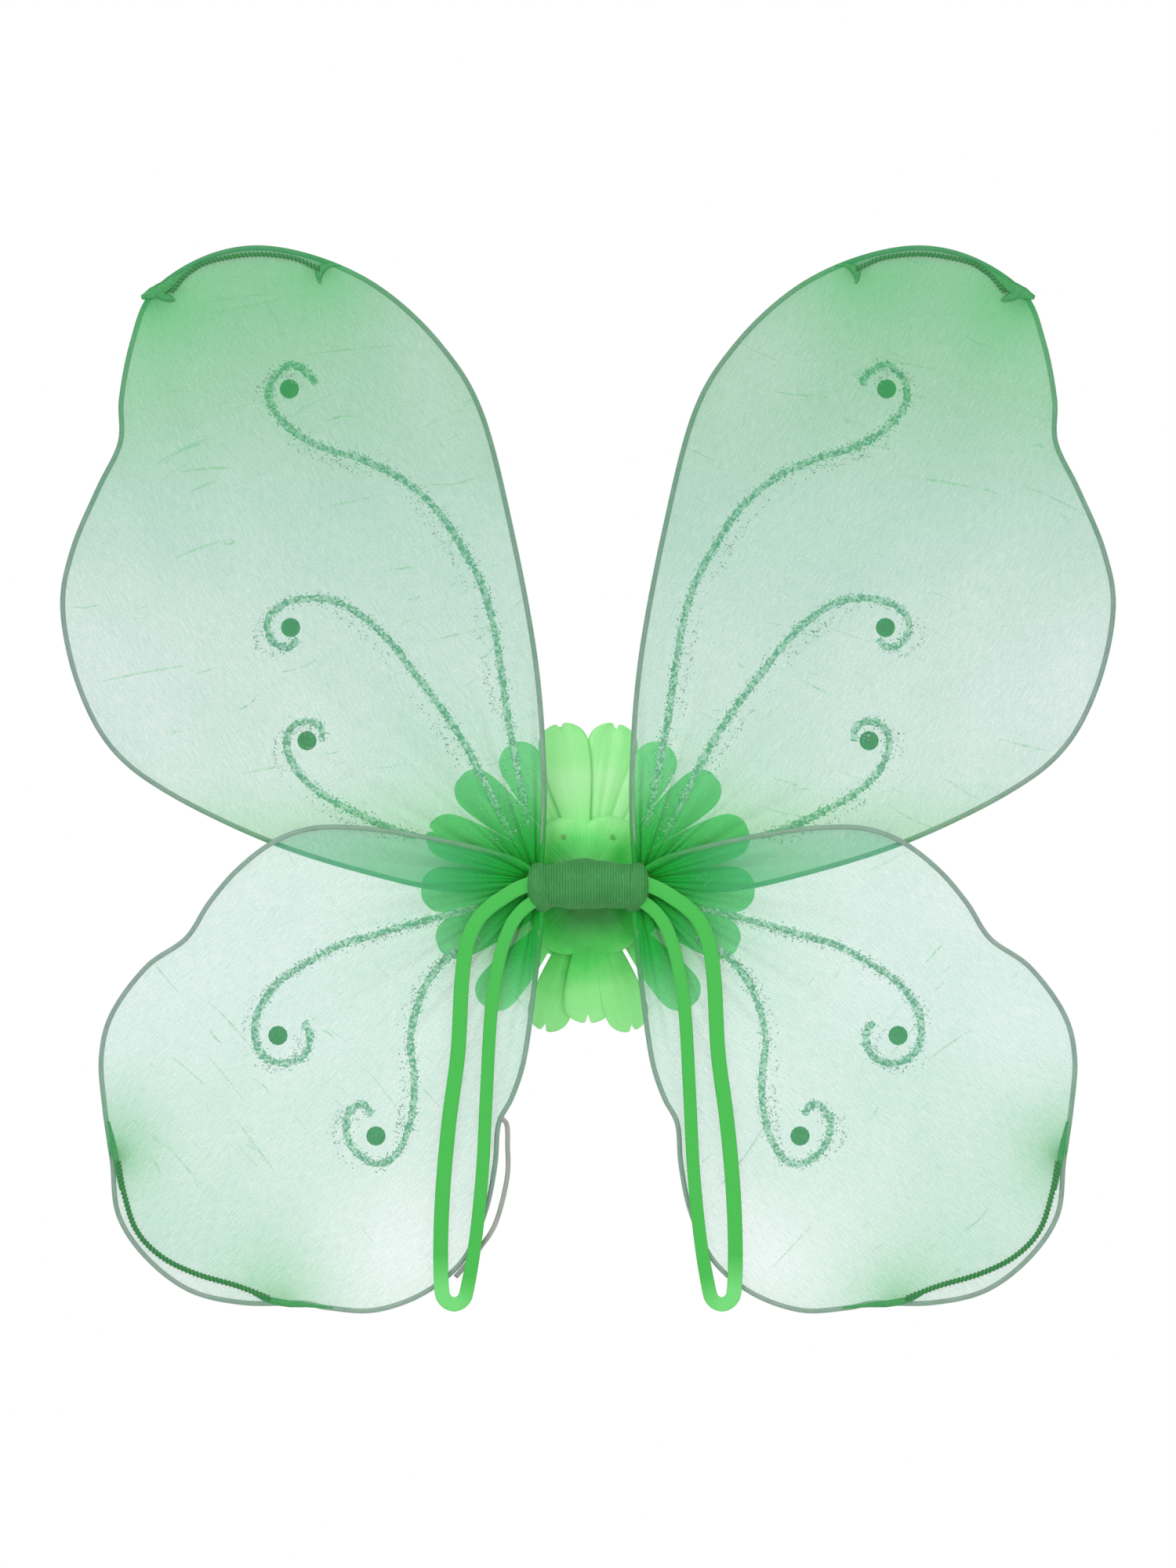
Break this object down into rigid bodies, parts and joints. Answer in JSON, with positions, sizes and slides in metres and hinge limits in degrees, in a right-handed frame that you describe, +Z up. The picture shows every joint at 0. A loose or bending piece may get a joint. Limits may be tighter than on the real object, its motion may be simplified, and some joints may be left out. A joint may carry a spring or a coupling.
{
  "type": "costume fairy wings",
  "caption": "Butterfly-shaped costume wings: sheer green nylon on wire frames, bound at the middle, with elastic arm loops on one side and a fabric flower on the other.",
  "frame": {"origin": "centre of the wrapped binding, on the frame's middle plane", "axes": "+Z up along the wearer's spine; -Y towards the wearer's back, the side with the arm loops; +Y away from the wearer, the side with the flower; +X to the right when seen from the wearer's side. left in a node's name is -X and right is +X"},
  "size_m": [0.431, 0.0472, 0.4359],
  "materials": {
    "covered_wire": "steel wire seen through stretched nylon, satin",
    "bare_wire": "drawn steel wire",
    "cloth_tape": "matt cotton tape",
    "wrap_nylon": "knitted nylon wound in several turns",
    "wing_nylon": "sheer knitted nylon, two layers",
    "sewing_thread": "twisted polyester thread",
    "glitter_glue": "clear glue full of fine glitter",
    "acrylic_gem": "moulded acrylic, polished",
    "braided_elastic": "flat braided elastic, matt",
    "petal_satin": "dyed satin, pressed",
    "flower_bead": "moulded, polished"
  },
  "bodies": {
    "binding": {"core_tape": "cloth_tape", "wire_tails": "bare_wire", "centre_wrap": "wrap_nylon", "wrap_band_left": "wrap_nylon", "wrap_band_right": "wrap_nylon", "upper_left_neck": "covered_wire", "upper_right_neck": "covered_wire", "lower_left_neck": "covered_wire", "lower_right_neck": "covered_wire", "flower_tie": "sewing_thread", "flower_backing": "petal_satin", "flower_petals_outer": "petal_satin", "flower_petals_second": "petal_satin", "flower_petals_inner": "petal_satin", "flower_centre": "flower_bead", "flower_stitches": "sewing_thread", "strap_left_root": "braided_elastic", "strap_right_root": "braided_elastic"},
    "upper_left_wing": {"upper_left_wire": "covered_wire", "upper_left_nylon": "wing_nylon", "upper_left_toe_seam": "sewing_thread", "upper_left_swirls": "glitter_glue", "upper_left_gems": "acrylic_gem"},
    "lower_left_wing": {"lower_left_wire": "covered_wire", "lower_left_nylon": "wing_nylon", "lower_left_toe_seam": "sewing_thread", "lower_left_swirls": "glitter_glue", "lower_left_gems": "acrylic_gem", "lower_left_wire_end": "covered_wire"},
    "left_loop": {"strap_left": "braided_elastic"},
    "upper_right_wing": {"upper_right_wire": "covered_wire", "upper_right_nylon": "wing_nylon", "upper_right_toe_seam": "sewing_thread", "upper_right_swirls": "glitter_glue", "upper_right_gems": "acrylic_gem"},
    "lower_right_wing": {"lower_right_wire": "covered_wire", "lower_right_nylon": "wing_nylon", "lower_right_toe_seam": "sewing_thread", "lower_right_swirls": "glitter_glue", "lower_right_gems": "acrylic_gem"},
    "right_loop": {"strap_right": "braided_elastic"}
  },
  "joints": [
    {"name": "upper_left_fold", "type": "hinge", "parent": "binding", "child": "upper_left_wing", "pos_m": [-0.028, -0.002, 0], "axis": [0, 0, -1], "range_deg": [-60, 25], "deforming": ["upper_left_neck", "strap_left_root"]},
    {"name": "lower_left_fold", "type": "hinge", "parent": "upper_left_wing", "child": "lower_left_wing", "pos_m": [-0.028, -0.002, 0], "axis": [0, 0, -1], "range_deg": [-15, 0], "deforming": ["lower_left_neck"]},
    {"name": "left_loop_swing", "type": "hinge", "parent": "lower_left_wing", "child": "left_loop", "pos_m": [-0.03, -0.005, 0], "axis": [-1, 0, 0], "range_deg": [0, 75]},
    {"name": "upper_right_fold", "type": "hinge", "parent": "binding", "child": "upper_right_wing", "pos_m": [0.028, -0.002, 0], "axis": [0, 0, 1], "range_deg": [-60, 25], "deforming": ["upper_right_neck", "strap_right_root"]},
    {"name": "lower_right_fold", "type": "hinge", "parent": "upper_right_wing", "child": "lower_right_wing", "pos_m": [0.028, -0.002, 0], "axis": [0, 0, 1], "range_deg": [-15, 0], "deforming": ["lower_right_neck"]},
    {"name": "right_loop_swing", "type": "hinge", "parent": "lower_right_wing", "child": "right_loop", "pos_m": [0.03, -0.005, 0], "axis": [-1, 0, 0], "range_deg": [0, 75]}
  ]
}
